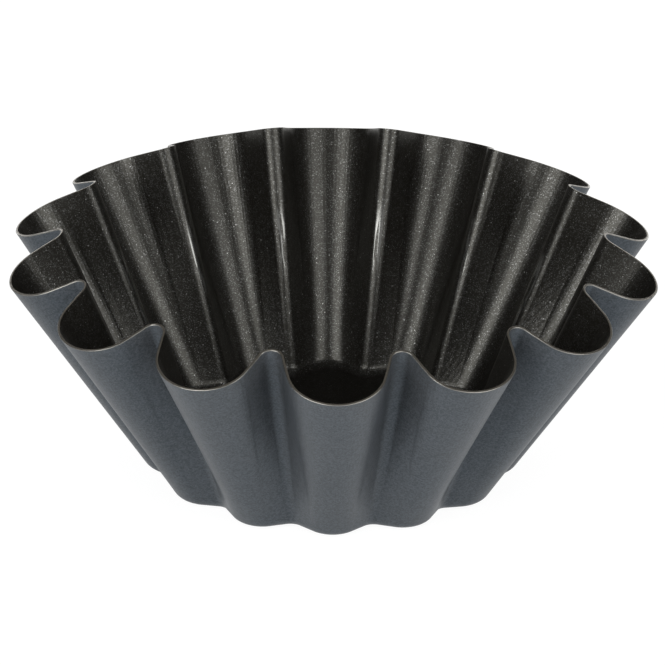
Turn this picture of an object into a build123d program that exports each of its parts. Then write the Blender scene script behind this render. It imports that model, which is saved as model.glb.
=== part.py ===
from build123d import *
import math
import os

# A brioche mould: a tall fluted tin, pressed from one disc of sheet steel and coated on both sides.
# Sizes in millimetres. The tin stands on z = 0, its axis is Z and the tip of one lobe points to -Y.
flute_count = 14
height = 81.3               # up to the outside edge of the rim at the tips of the inward folds
rim_fall_share = 0.475      # drop of the cut rim for each millimetre that it runs outwards
corner_radius = 5.9         # outside, where the wall turns into the flat base

# The wall's outside is a ring of round lobes joined by tight inward folds. Its outline is given
# at the height of the folds' rim, and at the base as if the corner there were sharp.
top_fold_radius = 91.4      # from the axis to the tip of a fold
top_flute_depth = 24.3      # from there out to the tip of a lobe
top_fold_round = 3.5        # radius of the arc at a fold
top_gap_share = 0.088       # part of the line between two neighbouring arcs' centres that is in neither arc
base_fold_radius = 58.0
base_flute_depth = 5.1
base_fold_round = 3.8
base_gap_share = 0.112

# The sheet's three layers, from the outside in. Both coats are drawn thicker than the baked film is.
coating_thickness = 0.15
steel_thickness = 0.5
lining_thickness = 0.15

# Aids for drawing
overrun = 1.0               # how far a form runs past the cut that ends it
corner_steps = 5            # steps between the outlines that carry the rounded corner

pitch = 360 / flute_count
half_pitch = math.pi / flute_count
lobe_lean = math.atan2(top_fold_radius + top_flute_depth - base_fold_radius - base_flute_depth, height)
fold_lean = math.atan2(top_fold_radius - base_fold_radius, height)
coating_depth = coating_thickness
steel_depth = coating_depth + steel_thickness
sheet_thickness = steel_depth + lining_thickness


def outline_sizes(fold_radius, flute_depth, fold_round, gap_share):
    """Tip radius of lobe and fold, and the radius of their arcs. The lobe's arc follows from the gap."""
    taken = (1 - gap_share) ** 2
    fold_centre = fold_radius + fold_round
    ahead = fold_centre * math.cos(half_pitch) - fold_radius - flute_depth
    aside = fold_centre * math.sin(half_pitch)
    slope = fold_round - taken * ahead
    rest = fold_round**2 - taken * (ahead**2 + aside**2)
    lobe_round = (math.sqrt(slope**2 - (1 - taken) * rest) - slope) / (1 - taken)
    return fold_radius + flute_depth, fold_radius, lobe_round, fold_round


base_sizes = outline_sizes(base_fold_radius, base_flute_depth, base_fold_round, base_gap_share)
top_sizes = outline_sizes(top_fold_radius, top_flute_depth, top_fold_round, top_gap_share)


def rim_height(radius):
    """Height of the cut rim, which follows a shallow cone round the axis."""
    return height - rim_fall_share * (radius - top_fold_radius)


form_top = rim_height(top_fold_radius - sheet_thickness / math.cos(fold_lean)) + overrun


def corner_inset(lean, depth, z):
    """How far the rounded corner of the skin at this depth lies inside its straight wall at height z."""
    radius = corner_radius - depth
    level = z - depth
    if level >= radius * (1 - math.sin(lean)):
        return 0
    foot = radius * math.tan((math.pi / 2 - lean) / 2)
    return foot + level * math.tan(lean) - math.sqrt(radius**2 - (radius - level) ** 2)


def corner_heights(depth):
    """Heights of the outlines up the rounded corner, closest together next to the base."""
    radius = corner_radius - depth
    turn = math.pi / 2 - min(lobe_lean, fold_lean)
    return [depth + radius * (1 - math.cos(turn * i / corner_steps)) for i in range(corner_steps + 1)]


def outline(depth, z):
    """Closed outline, at height z, of the skin that lies this depth inside the tin's outside."""
    share = z / height
    lobe_radius, fold_radius, lobe_round, fold_round = (
        base + (top - base) * share for base, top in zip(base_sizes, top_sizes)
    )
    lobe_centre = lobe_radius - lobe_round
    fold_centre = fold_radius + fold_round
    lobe_round -= depth / math.cos(lobe_lean) + corner_inset(lobe_lean, depth, z)
    fold_round += depth / math.cos(fold_lean) + corner_inset(fold_lean, depth, z)
    fold_x = fold_centre * math.cos(half_pitch)
    fold_y = fold_centre * math.sin(half_pitch)
    # the straight flank touches both arcs, and its normal has this angle to the lobe's own axis
    reach = math.hypot(fold_x - lobe_centre, fold_y)
    turn = math.atan2(fold_y, fold_x - lobe_centre) - math.acos((lobe_round + fold_round) / reach)
    lobe_tip = Vector(lobe_centre + lobe_round, 0, z)
    lobe_end = Vector(lobe_centre + lobe_round * math.cos(turn), lobe_round * math.sin(turn), z)
    lobe_start = Vector(lobe_end.X, -lobe_end.Y, z)
    fold_start = Vector(fold_x - fold_round * math.cos(turn), fold_y - fold_round * math.sin(turn), z)
    fold_tip = Vector(fold_centre - fold_round, 0, z).rotate(Axis.Z, pitch / 2)
    fold_end = Vector(fold_start.X, -fold_start.Y, z).rotate(Axis.Z, pitch)
    flute = [
        Edge.make_three_point_arc(lobe_start, lobe_tip, lobe_end),
        Edge.make_line(lobe_end, fold_start),
        Edge.make_three_point_arc(fold_start, fold_tip, fold_end),
        Edge.make_line(fold_end, lobe_start.rotate(Axis.Z, pitch)),
    ]
    return Wire([edge.rotate(Axis.Z, pitch * i - 90) for i in range(flute_count) for edge in flute])


def filled_form(depth):
    """Everything inside the skin that lies this depth inside the tin's outside."""
    corner_outlines = [outline(depth, z) for z in corner_heights(depth)]
    corner = Solid.make_loft(corner_outlines)
    wall = Solid.make_loft([corner_outlines[-1], outline(depth, form_top)], ruled=True)
    return corner + wall


def rim_waste():
    """The space over the rim's cone, which the trimming press cuts away."""
    reach = top_fold_radius + top_flute_depth + form_top * math.tan(lobe_lean)
    profile = Polyline(
        (0, 0, rim_height(0)),
        (reach, 0, rim_height(reach)),
        (reach, 0, rim_height(0)),
        close=True,
    )
    return revolve(make_face(profile), Axis.Z)


forms = [filled_form(depth) for depth in (0, coating_depth, steel_depth, sheet_thickness)]
coat, steel, lining = (outer - rim_waste() - inner for outer, inner in zip(forms, forms[1:]))

# the coat's flat disc, which the tin stands on, is kept apart from the coat up the wall
edge_of_flat = Plane.XY.offset(coating_thickness)
nodes = {
    "outer_coating": split(coat, edge_of_flat, keep=Keep.TOP),
    "underside_coating": split(coat, edge_of_flat, keep=Keep.BOTTOM),
    "steel_shell": steel,
    "nonstick_lining": lining,
}

os.makedirs("parts", exist_ok=True)
for name, shape in nodes.items():
    shape.label = name
    export_step(shape, f"parts/{name}.step")
    size = shape.bounding_box().size
    print(f"{name}: {len(shape.solids())} solid, {shape.volume:.1f} mm3")
    print(f"  {size.X:.2f} x {size.Y:.2f} x {size.Z:.2f} mm")
print(f"arc radius of a lobe: {base_sizes[2]:.2f} mm at the base, {top_sizes[2]:.2f} mm at the top")
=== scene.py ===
# %% [markdown]
# # A brioche mould in Blender
#
# The object is a tall fluted tin for baking brioche: one disc of sheet steel, pressed into
# fourteen round flutes, grey on the outside and black non-stick inside, with a bare cut rim.
# This lesson dresses its finished CAD model. The CAD gives the places and the sizes, and
# Blender adds what the eye wants: thin coats, a rounded cut edge, finishes and light.
#
# The first step loads the imported model as a fixed frame.

# %% Load the imported model
import math
import bpy
from mathutils import Matrix, Quaternion, Vector


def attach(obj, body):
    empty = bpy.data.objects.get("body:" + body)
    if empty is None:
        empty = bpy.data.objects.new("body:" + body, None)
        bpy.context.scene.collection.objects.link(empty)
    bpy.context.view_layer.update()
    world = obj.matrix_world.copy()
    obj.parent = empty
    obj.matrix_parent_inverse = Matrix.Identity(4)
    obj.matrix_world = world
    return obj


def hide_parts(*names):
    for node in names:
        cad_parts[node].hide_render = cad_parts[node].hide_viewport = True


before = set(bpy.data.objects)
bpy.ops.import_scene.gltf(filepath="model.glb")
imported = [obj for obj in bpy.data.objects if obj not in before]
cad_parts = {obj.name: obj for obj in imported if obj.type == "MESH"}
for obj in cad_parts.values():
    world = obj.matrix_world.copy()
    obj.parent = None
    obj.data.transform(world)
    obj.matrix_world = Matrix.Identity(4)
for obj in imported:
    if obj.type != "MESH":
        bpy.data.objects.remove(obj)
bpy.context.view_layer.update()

scene = bpy.context.scene
print("CAD nodes:", ", ".join(sorted(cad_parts)))

# %% [markdown]
# The mould's shape follows a rule, so a few sizes say all of it. At any height its outline is
# a ring of fourteen equal flutes. Half a flute is an arc at the lobe's tip, a straight flank
# that touches it, and an arc at the inward fold. The wall is straight from an outline near the
# base to one at the rim, and the rim is cut off along a shallow cone, which makes it wavy.
# Blender works in metres, so each size in millimetres is multiplied by MM.

# %% The mould's sizes
MM = 0.001
FLUTES = 14
HALF_PITCH = math.pi / FLUTES

outline_sizes = {
    "Height": 81.3 * MM,
    "Corner Radius": 5.9 * MM,
    "Base Lobe Tip": 63.1 * MM,
    "Base Fold Tip": 58.0 * MM,
    "Base Lobe Round": 9.94 * MM,
    "Base Fold Round": 3.8 * MM,
    "Top Lobe Tip": 115.7 * MM,
    "Top Fold Tip": 91.4 * MM,
    "Top Lobe Round": 16.66 * MM,
    "Top Fold Round": 3.5 * MM,
}
RIM_FALL = 0.475
FORM_TOP = 82.71 * MM
SHEET = 0.8 * MM
COAT = 0.045 * MM

lobe_flare = outline_sizes["Top Lobe Tip"] - outline_sizes["Base Lobe Tip"]
fold_flare = outline_sizes["Top Fold Tip"] - outline_sizes["Base Fold Tip"]
print(f"lean of a lobe {math.degrees(math.atan2(lobe_flare, outline_sizes['Height'])):.1f} degrees")
print(f"lean of a fold {math.degrees(math.atan2(fold_flare, outline_sizes['Height'])):.1f} degrees")

# %% [markdown]
# Geometry Nodes suit such a shape: one tree can draw any layer of the sheet. Its formulas have
# many small sums, and each would be a Math node placed and linked by hand. The helper below
# lets Python's own signs do that. `a + b` on two Numbers adds one Math node and gives back its
# result, so the formulas further down read like formulas.

# %% Numbers in a node tree
def plug(tree, value, socket):
    """Links a value to a socket, or writes it there if it is a plain number."""
    if isinstance(value, Number):
        value = value.socket
    if isinstance(value, bpy.types.NodeSocket):
        tree.links.new(value, socket)
    else:
        socket.default_value = value


def calculate(tree, operation, *values):
    """The result of one Math node."""
    node = tree.nodes.new("ShaderNodeMath")
    node.operation = operation
    for value, socket in zip(values, node.inputs):
        plug(tree, value, socket)
    return Number(tree, node.outputs[0])


class Number:
    """A number that a node tree works out."""

    def __init__(self, tree, socket):
        self.tree = tree
        self.socket = socket

    def __add__(self, other):
        return calculate(self.tree, "ADD", self, other)

    def __sub__(self, other):
        return calculate(self.tree, "SUBTRACT", self, other)

    def __rsub__(self, other):
        return calculate(self.tree, "SUBTRACT", other, self)

    def __mul__(self, other):
        return calculate(self.tree, "MULTIPLY", self, other)

    def __truediv__(self, other):
        return calculate(self.tree, "DIVIDE", self, other)

    def __rtruediv__(self, other):
        return calculate(self.tree, "DIVIDE", other, self)

    def of(self, operation, *others):
        """This number put through another of the Math node's operations."""
        return calculate(self.tree, operation, self, *others)

    def clamped(self):
        """This number, held between 0 and 1."""
        result = self + 0
        result.socket.node.use_clamp = True
        return result

    def toward(self, other, share):
        """The number that lies this share of the way to another."""
        return self + (other - self) * share


# %% [markdown]
# Three more helpers build trees. `new_tree` makes one with named inputs and outputs,
# `add_node` places a node and fills its inputs by name, and `axes_of` takes a vector apart. In
# Blender 4.5 a tree's sockets are made on its interface.

# %% Trees and nodes
SOCKET_KINDS = {
    "number": "NodeSocketFloat",
    "count": "NodeSocketInt",
    "material": "NodeSocketMaterial",
    "geometry": "NodeSocketGeometry",
}


def new_tree(name, kind, inputs, outputs):
    """A node tree with these sockets, given as {name: (kind, value)} and {name: kind}."""
    tree = bpy.data.node_groups.new(name, kind)
    for label, (socket_kind, value) in inputs.items():
        socket_type = SOCKET_KINDS[socket_kind]
        socket = tree.interface.new_socket(label, in_out="INPUT", socket_type=socket_type)
        if value is not None:
            socket.default_value = value
    for label, socket_kind in outputs.items():
        socket_type = SOCKET_KINDS[socket_kind]
        tree.interface.new_socket(label, in_out="OUTPUT", socket_type=socket_type)
    source = tree.nodes.new("NodeGroupInput")
    target = tree.nodes.new("NodeGroupOutput")
    given = {label: source.outputs[label] for label in inputs}
    for label, (socket_kind, _) in inputs.items():
        if socket_kind in ("number", "count"):
            given[label] = Number(tree, given[label])
    return tree, given, target


def add_node(tree, kind, settings=None, **values):
    """One node. Its settings are attributes, and its inputs are named with _ for a space."""
    node = tree.nodes.new(kind)
    for key, value in (settings or {}).items():
        setattr(node, key, value)
    for label, value in values.items():
        plug(tree, value, node.inputs[label.replace("_", " ")])
    return node


def axes_of(tree, vector):
    """The three numbers in a vector."""
    node = add_node(tree, "ShaderNodeSeparateXYZ", Vector=vector)
    return [Number(tree, output) for output in node.outputs]


# %% [markdown]
# The first group finds one point of the outline. It is given a height, a depth under the
# tin's outside, and how far along the lobe's arc, the flank and the fold's arc the point lies.
# A skin that lies deeper in the sheet has a smaller lobe arc and a larger fold arc round the
# same centres. The rounded corner above the base draws both arcs in a little more.

# %% A point of the outline
flute_point, given, out = new_tree(
    "Flute point",
    "GeometryNodeTree",
    {name: ("number", size) for name, size in outline_sizes.items()}
    | {name: ("number", 0.0) for name in ("Level", "Depth")}
    | {name: ("number", 0.0) for name in ("Lobe Share", "Flank Share", "Fold Share")},
    {"X": "number", "Y": "number"},
)


def corner_inset(lean, level, radius):
    """How far the rounded corner lies inside the straight wall, which leans out by this angle."""
    sine, cosine = lean.of("SINE"), lean.of("COSINE")
    foot = radius * (cosine / (sine + 1))
    height_left = (radius - level).of("MAXIMUM", 0.0)
    arc = (radius * radius - height_left * height_left).of("MAXIMUM", 0.0).of("SQRT")
    inset = foot + level * sine / cosine - arc
    return inset * level.of("LESS_THAN", radius * (1 - sine))


up = given["Level"] / given["Height"]
lobe_tip = given["Base Lobe Tip"].toward(given["Top Lobe Tip"], up)
fold_tip = given["Base Fold Tip"].toward(given["Top Fold Tip"], up)
lobe_round = given["Base Lobe Round"].toward(given["Top Lobe Round"], up)
fold_round = given["Base Fold Round"].toward(given["Top Fold Round"], up)
lobe_centre = lobe_tip - lobe_round
fold_centre = fold_tip + fold_round

lobe_lean = (given["Top Lobe Tip"] - given["Base Lobe Tip"]).of("ARCTAN2", given["Height"])
fold_lean = (given["Top Fold Tip"] - given["Base Fold Tip"]).of("ARCTAN2", given["Height"])
over_floor = given["Level"] - given["Depth"]
inner_radius = given["Corner Radius"] - given["Depth"]
lobe_inset = corner_inset(lobe_lean, over_floor, inner_radius)
fold_inset = corner_inset(fold_lean, over_floor, inner_radius)
lobe_round -= given["Depth"] / lobe_lean.of("COSINE") + lobe_inset
fold_round += given["Depth"] / fold_lean.of("COSINE") + fold_inset

fold_x = fold_centre * math.cos(HALF_PITCH)
fold_y = fold_centre * math.sin(HALF_PITCH)
across_x = fold_x - lobe_centre
reach = (across_x * across_x + fold_y * fold_y).of("SQRT")
turn = fold_y.of("ARCTAN2", across_x) - ((lobe_round + fold_round) / reach).of("ARCCOSINE")
lobe_angle = turn * given["Lobe Share"]
fold_angle = turn + (HALF_PITCH - turn) * given["Fold Share"]
on_lobe_x = lobe_centre + lobe_round * lobe_angle.of("COSINE")
on_lobe_y = lobe_round * lobe_angle.of("SINE")
on_fold_x = fold_x - fold_round * fold_angle.of("COSINE")
on_fold_y = fold_y - fold_round * fold_angle.of("SINE")
plug(flute_point, on_lobe_x.toward(on_fold_x, given["Flank Share"]), out.inputs["X"])
plug(flute_point, on_lobe_y.toward(on_fold_y, given["Flank Share"]), out.inputs["Y"])
print("Flute point:", len(flute_point.nodes), "nodes")

# %% [markdown]
# The second tree wraps a flat grid round into one layer of the sheet, a closed thin body. The
# grid's columns go round the flutes. Its rows start in the middle of the floor, run along the
# outer skin to the rim, cross the cut edge and come back along the inner skin. So one tree
# draws the steel and both coats, each from its own two depths. The alternative, Solidify on a
# single skin, would round the rim's cut off square to the skin and not along the cone.

# %% The tree for one layer of the sheet
layer_tree, given, out = new_tree(
    "Layer of the fluted sheet",
    "GeometryNodeTree",
    {name: ("number", size) for name, size in outline_sizes.items()}
    | {
        "Outer Depth": ("number", 0.0),
        "Inner Depth": ("number", SHEET),
        "Rim Fall": ("number", RIM_FALL),
        "Form Top": ("number", FORM_TOP),
        "Outer Round": ("number", 0.0),
        "Inner Round": ("number", 0.0),
        "Edge Drop": ("number", 0.0),
        "Flutes": ("count", FLUTES),
        "Lobe Steps": ("count", 14),
        "Flank Steps": ("count", 3),
        "Fold Steps": ("count", 10),
        "Floor Steps": ("count", 4),
        "Corner Steps": ("count", 8),
        "Wall Steps": ("count", 18),
        "Edge Steps": ("count", 4),
        "Material": ("material", None),
    },
    {"Geometry": "geometry"},
)
steps_to_fold = given["Lobe Steps"] + given["Flank Steps"]
half_steps = steps_to_fold + given["Fold Steps"]
flute_steps = half_steps * 2
steps_to_wall = given["Floor Steps"] + given["Corner Steps"]
skin_rows = steps_to_wall + given["Wall Steps"] + given["Edge Steps"]
row_count = skin_rows * 2 + 2

grid = add_node(
    layer_tree,
    "GeometryNodeMeshGrid",
    Vertices_X=flute_steps * given["Flutes"] + 1,
    Vertices_Y=row_count,
)
index = Number(layer_tree, add_node(layer_tree, "GeometryNodeInputIndex").outputs[0])
column = ((index + 0.5) / row_count).of("FLOOR")
row = index - column * row_count


def share(steps_done, steps):
    """How much of a stretch of the grid has been passed, from 0 to 1."""
    return (steps_done / steps).clamped()


flute = ((column + 0.5) / flute_steps).of("FLOOR")
from_tip = column - flute * flute_steps - half_steps
side = from_tip.of("SIGN")
steps_out = from_tip.of("ABSOLUTE")
along_flute = {
    "Lobe Share": share(steps_out, given["Lobe Steps"]),
    "Flank Share": share(steps_out - given["Lobe Steps"], given["Flank Steps"]),
    "Fold Share": share(steps_out - steps_to_fold, given["Fold Steps"]),
}

inner_side = row.of("GREATER_THAN", skin_rows + 0.5)
steps_up = row.of("MINIMUM", row_count - 1 - row)
floor_share = share(steps_up, given["Floor Steps"])
corner_share = share(steps_up - given["Floor Steps"], given["Corner Steps"])
wall_share = share(steps_up - steps_to_wall, given["Wall Steps"])
edge_share = share(steps_up - skin_rows + given["Edge Steps"], given["Edge Steps"])

# %% [markdown]
# The cut edge is rounded over a fraction of a millimetre, more at its outer corner than at the
# inner one. Its rows lie deeper in the sheet and closer to the cut by the sine and cosine of a
# quarter turn. The wall ends where it meets the cone of the cut. A straight line in the wall
# meets a cone where a quadratic equation says, and the smaller of its two answers is the rim.

# %% The rows of one layer, from the floor to the rim
quarter = edge_share * (math.pi / 2)
edge_round = given["Outer Round"].toward(given["Inner Round"], inner_side)
edge_depth = edge_round * (1 - quarter.of("COSINE"))
under_cut = given["Edge Drop"] + edge_round * (1 - quarter.of("SINE"))
outer_depth = given["Outer Depth"] + edge_depth
inner_depth = given["Inner Depth"] - edge_depth
depth = outer_depth.toward(inner_depth, inner_side)

fold_lean = (given["Top Fold Tip"] - given["Base Fold Tip"]).of("ARCTAN2", given["Height"])
corner_turn = (math.pi / 2 - fold_lean) * corner_share
corner_level = depth + (given["Corner Radius"] - depth) * (1 - corner_turn.of("COSINE"))


def outline_at(level):
    """The outline's point for this column, at this height and this row's depth."""
    node = add_node(layer_tree, "GeometryNodeGroup", {"node_tree": flute_point})
    for label, value in (along_flute | {"Level": level, "Depth": depth}).items():
        plug(layer_tree, value, node.inputs[label])
    for label in outline_sizes:
        plug(layer_tree, given[label], node.inputs[label])
    return Number(layer_tree, node.outputs["X"]), Number(layer_tree, node.outputs["Y"])


foot_x, foot_y = outline_at(corner_level)
top_x, top_y = outline_at(given["Form Top"])
run_x, run_y, rise = top_x - foot_x, top_y - foot_y, given["Form Top"] - corner_level

cone_tip = given["Height"] + given["Rim Fall"] * given["Top Fold Tip"] - under_cut
clearance = cone_tip - corner_level
fall_squared = given["Rim Fall"] * given["Rim Fall"]
a = rise * rise - fall_squared * (run_x * run_x + run_y * run_y)
b = clearance * rise + fall_squared * (foot_x * run_x + foot_y * run_y)
c = clearance * clearance - fall_squared * (foot_x * foot_x + foot_y * foot_y)
rim_at = (b - (b * b - a * c).of("SQRT")) / a

up_wall = rim_at * wall_share
local_x = (foot_x + run_x * up_wall) * floor_share
local_y = (foot_y + run_y * up_wall) * floor_share * side
level = corner_level + rise * up_wall

# %% [markdown]
# What is left is to put each point in its place. Flute number 0 faces the front, -Y. Merge by
# Distance closes the seam between the last flute and the first and gathers each floor's middle
# into one point. Edges sharper than 35 degrees stay sharp, and the rest is shaded smooth. Two
# attributes go with the mesh for the finishes: how deep in the sheet a point lies, and how
# close it is to the crest of a fold.

# %% Place the points and close the layer
MERGE_WITHIN = 0.001 * MM
SHARP_FROM = math.radians(35)

local = add_node(layer_tree, "ShaderNodeCombineXYZ", X=local_x, Y=local_y, Z=level)
turned = add_node(
    layer_tree,
    "ShaderNodeVectorRotate",
    {"rotation_type": "Z_AXIS"},
    Vector=local.outputs[0],
    Angle=flute * (2 * HALF_PITCH) - math.pi / 2,
)
placed = add_node(
    layer_tree, "GeometryNodeSetPosition", Geometry=grid.outputs["Mesh"], Position=turned.outputs[0]
)
across_sheet = (depth - given["Outer Depth"]) / (given["Inner Depth"] - given["Outer Depth"])
marked = placed
for label, value in {"across_sheet": across_sheet, "fold_crest": along_flute["Fold Share"]}.items():
    marked = add_node(
        layer_tree,
        "GeometryNodeStoreNamedAttribute",
        {"data_type": "FLOAT", "domain": "POINT"},
        Geometry=marked.outputs[0],
        Name=label,
        Value=value,
    )
closed = add_node(
    layer_tree, "GeometryNodeMergeByDistance", Geometry=marked.outputs[0], Distance=MERGE_WITHIN
)
edge_angles = add_node(layer_tree, "GeometryNodeInputMeshEdgeAngle")
edge_angle = Number(layer_tree, edge_angles.outputs["Unsigned Angle"])
smooth = add_node(
    layer_tree,
    "GeometryNodeSetShadeSmooth",
    {"domain": "EDGE"},
    Geometry=closed.outputs[0],
    Selection=edge_angle.of("GREATER_THAN", SHARP_FROM),
    Shade_Smooth=False,
)
real = add_node(layer_tree, "GeometryNodeRealizeInstances", Geometry=smooth.outputs[0])
finished = add_node(
    layer_tree, "GeometryNodeSetMaterial", Geometry=real.outputs[0], Material=given["Material"]
)
plug(layer_tree, finished.outputs[0], out.inputs["Geometry"])
print("Layer tree:", len(layer_tree.nodes), "nodes")


# %% [markdown]
# A modifier runs the tree. Its inputs are set by each socket's identifier, before the object
# is first evaluated, and the result is then kept as a plain mesh with the modifier removed.

# %% Make a layer as a plain mesh
def make_layer(name, material, **sizes):
    """One layer of the sheet as a mesh, with these inputs of the tree changed."""
    maker = bpy.data.objects.new(name, bpy.data.meshes.new(name + "_start"))
    scene.collection.objects.link(maker)
    modifier = maker.modifiers.new("Layer", "NODES")
    modifier.node_group = layer_tree
    sockets = layer_tree.interface.items_tree
    identifiers = {item.name: item.identifier for item in sockets if item.in_out == "INPUT"}
    modifier[identifiers["Material"]] = material
    for label, value in sizes.items():
        modifier[identifiers[label.replace("_", " ")]] = value
    bpy.context.view_layer.update()
    evaluated = maker.evaluated_get(bpy.context.evaluated_depsgraph_get())
    mesh = bpy.data.meshes.new_from_object(evaluated)
    maker.modifiers.clear()
    maker.data = mesh
    mesh.name = name
    print(f"{name}: {len(mesh.vertices)} points, {len(mesh.polygons)} faces")
    return maker


# %% [markdown]
# Now the finishes. Two effects are used by more than one of them, so each is a shader node
# group. "Fine mottle" is the slight unevenness of a rolled, sprayed or baked surface: a broad
# noise and a fine one. "Near the cut" is 1 at the cut rim and fades to 0 some way below it. It
# works the cone of the cut out from the object coordinates, so it needs no painted mask.

# %% Shared effects
mottle_group, given, out = new_tree(
    "Fine mottle",
    "ShaderNodeTree",
    {"Broad Scale": ("number", 40.0), "Fine Scale": ("number", 700.0)},
    {"Broad": "number", "Fine": "number"},
)
place = add_node(mottle_group, "ShaderNodeTexCoord").outputs["Object"]
for label in ("Broad", "Fine"):
    scale = given[label + " Scale"]
    noise = add_node(mottle_group, "ShaderNodeTexNoise", Vector=place, Scale=scale, Detail=3.0)
    plug(mottle_group, noise.outputs[0], out.inputs[label])

cut_group, given, out = new_tree(
    "Near the cut", "ShaderNodeTree", {"Reach": ("number", 0.5 * MM)}, {"Mask": "number"}
)
place = add_node(cut_group, "ShaderNodeTexCoord").outputs["Object"]
x, y, z = axes_of(cut_group, place)
radius = (x * x + y * y).of("SQRT")
cut_level = (outline_sizes["Top Fold Tip"] - radius) * RIM_FALL + outline_sizes["Height"]
plug(cut_group, (1 - (cut_level - z) / given["Reach"]).clamped(), out.inputs["Mask"])


def colour(red, green, blue):
    """A screen colour, 0 to 255, as the linear colour that shaders work with."""
    channels = (value / 255 for value in (red, green, blue))
    return [c / 12.92 if c <= 0.04045 else ((c + 0.055) / 1.055) ** 2.4 for c in channels] + [1.0]


def new_material(name):
    """A material, its node tree and its shader."""
    material = bpy.data.materials.new(name)
    material.use_nodes = True
    tree = material.node_tree
    return material, tree, tree.nodes["Principled BSDF"]


def use_group(tree, group, **values):
    """Places a group and gives back its outputs as Numbers."""
    node = add_node(tree, "ShaderNodeGroup", {"node_tree": group}, **values)
    return {output.name: Number(tree, output) for output in node.outputs}


def blend_colours(tree, share, first, second):
    """A colour between two, by a share from 0 to 1."""
    node = tree.nodes.new("ShaderNodeMix")
    node.data_type = "RGBA"
    for value, position in ((share, 0), (first, 6), (second, 7)):
        plug(tree, value, node.inputs[position])
    return node.outputs[2]


def bump(tree, shader, height, distance):
    """Raises the surface's light and shade by up to this distance."""
    node = add_node(tree, "ShaderNodeBump", Height=height, Distance=distance, Strength=1.0)
    plug(tree, node.outputs[0], shader.inputs["Normal"])


# %% [markdown]
# The outside is a smooth satin coat, slate grey with a touch of blue. It is baked on, so it
# has the faint orange peel of such a coat, about a millimetre and a half from crest to crest,
# and its grey wanders a little between bluer and warmer. Specks under half a millimetre, one
# to a Voronoi cell, stand for the pigment. At the very cut the colour turns a lighter beige, a
# painted highlight along the edge. The shader's specular level is low and its tint bluish,
# because such a coat stays matt and slate blue even where it is seen at a slant.

# %% The slate coat
slate, tree, shader = new_material("slate_coating")
mottle = use_group(tree, mottle_group, Broad_Scale=45.0, Fine_Scale=700.0)
near_cut = use_group(tree, cut_group, Reach=0.35 * MM)["Mask"]
place = add_node(tree, "ShaderNodeTexCoord").outputs["Object"]
specks = add_node(tree, "ShaderNodeTexVoronoi", Vector=place, Scale=2200.0).outputs["Color"]
speck = Number(tree, add_node(tree, "ShaderNodeSeparateColor", Color=specks).outputs[0])
warmer = ((mottle["Broad"] - 0.35) * 3).clamped()
grey = blend_colours(tree, warmer, colour(50, 52, 53), colour(56, 57, 57))
grey = blend_colours(tree, speck * 0.5, grey, colour(91, 95, 101))
# painted highlight: the grey goes half way to a lighter beige along the cut
painted_cut_highlight = blend_colours(tree, near_cut * 0.5, grey, colour(128, 120, 106))
plug(tree, painted_cut_highlight, shader.inputs["Base Color"])
satin = mottle["Broad"] * 0.06 + mottle["Fine"] * 0.05 + 0.39
plug(tree, satin, shader.inputs["Roughness"])
shader.inputs["Specular IOR Level"].default_value = 0.37
shader.inputs["Specular Tint"].default_value = (0.55, 0.78, 1.0, 1.0)
bump(tree, shader, mottle["Fine"], distance=0.012 * MM)

# %% [markdown]
# The inside is a black non-stick coat. What makes it read as one is the fleck: fine metal
# flakes in a clear resin, which break the broad soft reflections into grains. Voronoi cells
# under a millimetre wide stand for the flakes. Many are small and dull, some are larger and
# bright, and about one in seventy sparkles.
#
# Such tins are kept nested in each other, and the one inside rubs the crests of the folds
# smooth, over a stretch at half their height. There the lamps show as hard thin glints. The
# rubbing runs up and down, so the noise that breaks it into scuffs is drawn out that way. It
# reads coordinates that are scaled to one ring, because plain ones would be cut at a slant by
# the leaning wall, and the scuffs would come out short and braided.

# %% The black non-stick lining
lining, tree, shader = new_material("nonstick_black")
mottle = use_group(tree, mottle_group, Broad_Scale=60.0, Fine_Scale=2300.0)
near_cut = use_group(tree, cut_group, Reach=0.3 * MM)["Mask"]
place = add_node(tree, "ShaderNodeTexCoord").outputs["Object"]


def flakes(scale, bare_share, radius):
    """Brightness of flakes. One Voronoi cell holds one, and a share of the cells are bare."""
    cells = add_node(tree, "ShaderNodeTexVoronoi", Vector=place, Scale=scale)
    draw = add_node(tree, "ShaderNodeSeparateColor", Color=cells.outputs["Color"])
    chance = Number(tree, draw.outputs[0])
    inside = Number(tree, cells.outputs["Distance"]).of("LESS_THAN", radius)
    return ((chance - bare_share) / (1 - bare_share)).clamped() * inside


fine_flakes = flakes(scale=2700.0, bare_share=0.4, radius=0.5)
large_flakes = flakes(scale=1500.0, bare_share=0.84, radius=0.28)
sparkle = flakes(scale=1350.0, bare_share=0.986, radius=0.28).of("GREATER_THAN", 0.0)
flake = (fine_flakes * 0.5 + large_flakes * 0.9 + sparkle).clamped()

SCUFF_RING = 75 * MM
RUBBED_FROM, RUBBED_TO, RUBBED_FADE = 31 * MM, 59 * MM, 9 * MM
x, y, up = axes_of(tree, place)
to_ring = SCUFF_RING / (x * x + y * y).of("SQRT")
drawn_out = add_node(tree, "ShaderNodeCombineXYZ", X=x * to_ring, Y=y * to_ring, Z=up * 0.06)
scuff_noise = add_node(
    tree, "ShaderNodeTexNoise", Vector=drawn_out.outputs[0], Scale=1500.0, Detail=1.0
)
scuffs = ((Number(tree, scuff_noise.outputs[0]) - 0.48) * 12).clamped()
fold_share = add_node(tree, "ShaderNodeAttribute", {"attribute_name": "fold_crest"})
crest = ((Number(tree, fold_share.outputs["Fac"]) - 0.62) * 8).clamped()
over_foot = ((up - RUBBED_FROM) / RUBBED_FADE).clamped()
under_head = ((RUBBED_TO - up) / RUBBED_FADE).clamped()
rubbed = crest * (over_foot * under_head) * scuffs

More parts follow.
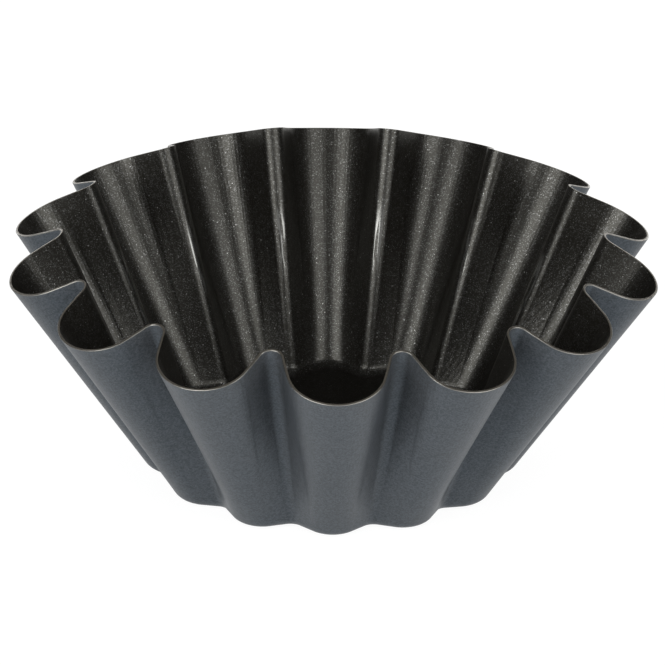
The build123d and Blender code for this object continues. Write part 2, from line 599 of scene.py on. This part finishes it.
black = blend_colours(tree, mottle["Broad"], colour(11, 9, 7), colour(18, 16, 12))
flecked = blend_colours(tree, flake, black, colour(144, 144, 142))
flecked = blend_colours(tree, sparkle, flecked, colour(164, 164, 162))
flecked = blend_colours(tree, rubbed, flecked, colour(122, 122, 119))
worn_edge = blend_colours(tree, near_cut * 0.4, flecked, colour(90, 84, 74))
metal = (flake * 3).clamped().of("MAXIMUM", rubbed) * 0.96
satin = mottle["Broad"] * 0.05 + 0.3 + flake * 0.08
plug(tree, worn_edge, shader.inputs["Base Color"])
plug(tree, metal, shader.inputs["Metallic"])
plug(tree, satin.toward(0.16, rubbed), shader.inputs["Roughness"])
shader.inputs["Specular Tint"].default_value = (1.0, 0.98, 0.88, 1.0)
bump(tree, shader, mottle["Fine"], distance=0.004 * MM)

# %% [markdown]
# The press trims the rim last, so the cut edge is bare steel. A sheared edge has two zones:
# the blade first rounds and burnishes the sheet's outer corner, and the rest then tears and
# stays dull. The layer tree stored how deep in the sheet each point lies, and the finish
# changes along that attribute, at a border that a noise makes uneven. The torn zone is a
# little less metallic, because light gets lost and scattered in its tears.

# %% The bare cut steel
steel, tree, shader = new_material("bare_steel")
mottle = use_group(tree, mottle_group, Broad_Scale=180.0, Fine_Scale=2600.0)
BURNISHED_SHARE = 0.32
attribute = add_node(tree, "ShaderNodeAttribute", {"attribute_name": "across_sheet"})
across = Number(tree, attribute.outputs["Fac"])
dull = ((across - BURNISHED_SHARE + (mottle["Broad"] - 0.5) * 0.4) * 6).clamped()
zones = blend_colours(tree, dull, colour(158, 156, 150), colour(104, 99, 90))
plug(tree, zones, shader.inputs["Base Color"])
plug(tree, dull * 0.18 + mottle["Fine"] * 0.16 + 0.22, shader.inputs["Roughness"])
plug(tree, 1 - dull * 0.3, shader.inputs["Metallic"])
bump(tree, shader, mottle["Fine"], distance=0.02 * MM)

# %% [markdown]
# The sheet has three layers. The real films are only a few hundredths of a millimetre thick,
# so the rim shows nearly the whole thickness of the sheet as bare steel. Both coats end where
# the steel's rounded edge begins. The grey one also covers the underside, and stands for two
# CAD nodes, the wall's coat and the flat disc below the base.

# %% Make the three layers
OUTER_ROUND = 0.22 * MM
INNER_ROUND = 0.06 * MM
outer_coat = make_layer(
    "slate_outer_coat",
    slate,
    Outer_Depth=0.0,
    Inner_Depth=COAT,
    Edge_Drop=OUTER_ROUND,
    Edge_Steps=1,
)
sheet = make_layer(
    "pressed_steel_sheet",
    steel,
    Outer_Depth=COAT,
    Inner_Depth=SHEET - COAT,
    Outer_Round=OUTER_ROUND,
    Inner_Round=INNER_ROUND,
)
inner_coat = make_layer(
    "black_nonstick_lining",
    lining,
    Outer_Depth=SHEET - COAT,
    Inner_Depth=SHEET,
    Edge_Drop=INNER_ROUND,
    Edge_Steps=1,
)

for piece, slot, nodes in (
    (outer_coat, "slate_coating", ("outer_coating", "underside_coating")),
    (sheet, "bare_steel", ("steel_shell",)),
    (inner_coat, "nonstick_black", ("nonstick_lining",)),
):
    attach(piece, "root")
    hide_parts(*nodes)

# %% [markdown]
# The camera stands at the front, a little to the left, and looks down at 26 degrees from one
# and a half metres away through a long lens, so the mould's far side is hardly smaller than
# its near side. It is turned by less than a degree, as a camera on a tripod may be.

# %% The camera
camera_place = Vector((-0.02298, -1.34011, 0.69763))
camera_target = Vector((0.00012, 0.0, 0.04449))
CAMERA_ROLL = math.radians(0.852)

camera_data = bpy.data.cameras.new("Camera")
camera_data.lens = 238.264
camera_data.sensor_width = 36.0
camera_data.clip_end = 50.0
camera_data.dof.use_dof = False
camera = bpy.data.objects.new("Camera", camera_data)
camera.location = camera_place
aim = (camera_target - camera_place).to_track_quat("-Z", "Y")
camera.rotation_euler = (aim @ Quaternion((0, 0, 1), CAMERA_ROLL)).to_euler()
scene.collection.objects.link(camera)
scene.camera = camera

# %% [markdown]
# Two softboxes stand left and right of the camera. The black lining shows them as two bright
# bands in each of the far lobes and two thin lines on each fold. A third stands low behind
# the mould. The cut edge at both sides shows it as a bright line, and it lights the mould's
# back. A softbox is given by the directions of its lower and upper end, as seen from the
# mould, so its length and its lean follow. The power follows from how bright its face should
# look.

# %% The softboxes
LAMP_DISTANCE = 1.1


def direction(azimuth, elevation):
    """A unit vector. Azimuth 0 is the front, -Y, and 90 is +X."""
    a, e = math.radians(azimuth), math.radians(elevation)
    return Vector((math.sin(a) * math.cos(e), -math.cos(a) * math.cos(e), math.sin(e)))


def softbox(name, low, high, width, brightness):
    """A lamp that reaches from one direction to another and faces the mould."""
    low_end, high_end = (direction(*way) * LAMP_DISTANCE for way in (low, high))
    middle = (low_end + high_end) / 2
    away = middle.normalized()
    along = (high_end - low_end - (high_end - low_end).dot(away) * away).normalized()
    lamp_data = bpy.data.lights.new(name, "AREA")
    lamp_data.shape = "RECTANGLE"
    lamp_data.size = width
    lamp_data.size_y = (high_end - low_end).length
    lamp_data.energy = brightness * math.pi * lamp_data.size * lamp_data.size_y
    lamp = bpy.data.objects.new(name, lamp_data)
    lamp.location = middle + Vector((0, 0, outline_sizes["Height"] / 2))
    turn = Matrix.Identity(3)
    turn.col[0], turn.col[1], turn.col[2] = along.cross(away), along, away
    lamp.rotation_euler = turn.to_euler()
    lamp.visible_camera = False
    scene.collection.objects.link(lamp)
    print(f"{name}: {lamp_data.size:.2f} x {lamp_data.size_y:.2f} m, {lamp_data.energy:.1f} W")


softbox("Left softbox", low=(-41, 9), high=(-31, 43), width=0.67, brightness=4.9)
softbox("Right softbox", low=(40, 10), high=(47, 43), width=0.76, brightness=3.45)
softbox("Back softbox", low=(178, 3), high=(178, 33), width=1.25, brightness=3.0)

# %% [markdown]
# The mould stands on a white floor. The floor is an ordinary matt white for the light that
# falls on the object, so the flared wall gets its soft light from below. For the camera and
# for reflections most of its colour is plain white, mixed in by Light Path, and the rest keeps
# the mould's shadow. The world is white to the camera too. Reflections see a photographer's
# dark room in it, with a soft glow low in front and a faint one straight overhead.

# %% The floor and the world
FLOOR_HALF = 6.0
FLOOR_LEVEL = -0.1 * MM
WHITE = (1.0, 1.0, 1.0, 1.0)
PAPER_WHITE = (0.82, 0.82, 0.82, 1.0)
GLOW_SHARE = 0.85
GLOW_STRENGTH = 1.1

corners = ((-1, -1), (1, -1), (1, 1), (-1, 1))
floor_mesh = bpy.data.meshes.new("floor")
floor_mesh.from_pydata(
    [(x * FLOOR_HALF, y * FLOOR_HALF, FLOOR_LEVEL) for x, y in corners], [], [(0, 1, 2, 3)]
)
floor = bpy.data.objects.new("floor", floor_mesh)
scene.collection.objects.link(floor)

paper = bpy.data.materials.new("floor_paper")
paper.use_nodes = True
tree = paper.node_tree
tree.nodes.clear()


def rays(tree):
    """Two numbers: 1 for a camera, glossy or transmission ray, and 1 for a glossy ray alone."""
    path = add_node(tree, "ShaderNodeLightPath")
    seen = Number(tree, path.outputs["Is Camera Ray"])
    for label in ("Is Glossy Ray", "Is Transmission Ray"):
        seen = seen.of("MAXIMUM", path.outputs[label])
    return seen, Number(tree, path.outputs["Is Glossy Ray"])


seen, _ = rays(tree)
matt = add_node(tree, "ShaderNodeBsdfDiffuse", Color=PAPER_WHITE)
glow = add_node(tree, "ShaderNodeEmission", Color=WHITE, Strength=GLOW_STRENGTH)
blend = tree.nodes.new("ShaderNodeMixShader")
plug(tree, seen * GLOW_SHARE, blend.inputs[0])
plug(tree, matt.outputs[0], blend.inputs[1])
plug(tree, glow.outputs[0], blend.inputs[2])
target = tree.nodes.new("ShaderNodeOutputMaterial")
plug(tree, blend.outputs[0], target.inputs["Surface"])
floor_mesh.materials.append(paper)

AMBIENT = 0.36
ROOM = 0.04
OVERHEAD_GLOW = 0.06
FRONT_GLOW = 0.6
# where the glows begin and end, in parts of a unit vector
OVERHEAD_FROM = 0.85
FRONT_FROM = 0.72
FRONT_FOOT, FRONT_TOP = 0.1, 0.54

world = bpy.data.worlds.new("studio")
world.use_nodes = True
scene.world = world
tree = world.node_tree
sky = tree.nodes["Background"]
seen, glossy = rays(tree)
way = add_node(tree, "ShaderNodeTexCoord").outputs["Generated"]
_, way_y, way_z = axes_of(tree, way)
overhead = ((way_z - OVERHEAD_FROM) / 0.1).clamped()
ahead = ((way_y * -1 - FRONT_FROM) / 0.16).clamped()
under_top = ((FRONT_TOP - way_z) / 0.12).clamped()
over_foot = ((way_z - FRONT_FOOT) / 0.1).clamped()
reflected = overhead * OVERHEAD_GLOW + ahead * under_top * over_foot * FRONT_GLOW + ROOM
strength = seen * (1 - glossy) + glossy * reflected + (1 - seen) * AMBIENT
plug(tree, strength, sky.inputs["Strength"])
sky.inputs["Color"].default_value = WHITE

scene.view_settings.view_transform = "Standard"
